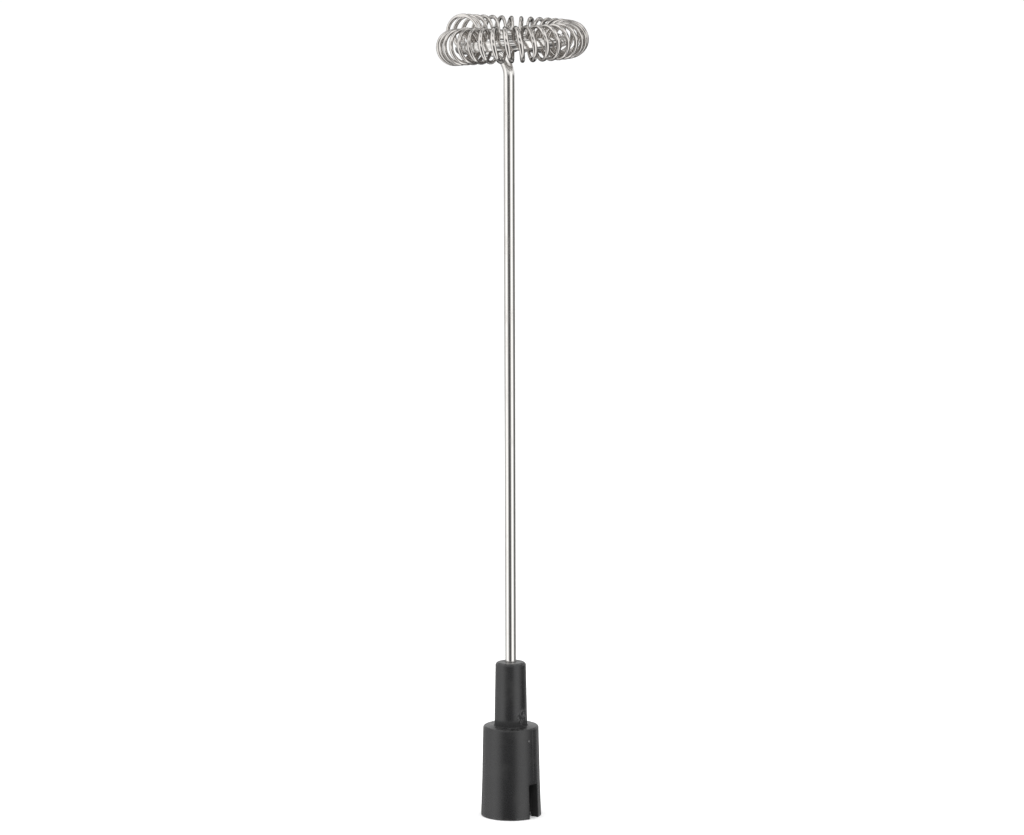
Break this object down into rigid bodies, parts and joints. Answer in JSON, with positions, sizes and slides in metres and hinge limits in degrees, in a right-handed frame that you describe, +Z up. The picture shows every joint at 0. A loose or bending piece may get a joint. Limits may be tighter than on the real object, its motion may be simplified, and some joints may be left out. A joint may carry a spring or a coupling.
{
  "type": "milk frother whisk",
  "caption": "Plug-in whisk of a hand-held milk frother: a steel stem bent into a ring that carries a coil spring, on a black drive socket.",
  "frame": {"origin": "centre of the coupler's open rim, on the axis of the drive socket and the stem", "axes": "+Z up the stem towards the whisk ring; -Y is the front, the side on which the first drive slot lies to the right"},
  "size_m": [0.0277, 0.0278, 0.1485],
  "materials": {
    "bright_wire": "bright drawn stainless steel",
    "spring_wire": "bright drawn stainless steel, fine wire",
    "black_plastic": "moulded, satin"
  },
  "bodies": {
    "whisk": {"whisk_wire": "bright_wire", "coupler": "black_plastic"},
    "spring": {"foaming_spring": "spring_wire"}
  },
  "joints": [
    {"name": "spring_creep", "type": "hinge", "parent": "whisk", "child": "spring", "pos_m": [0.00059, 0, 0.1437], "axis": [0, 0, 1], "range_deg": [-3.5, 4]}
  ]
}
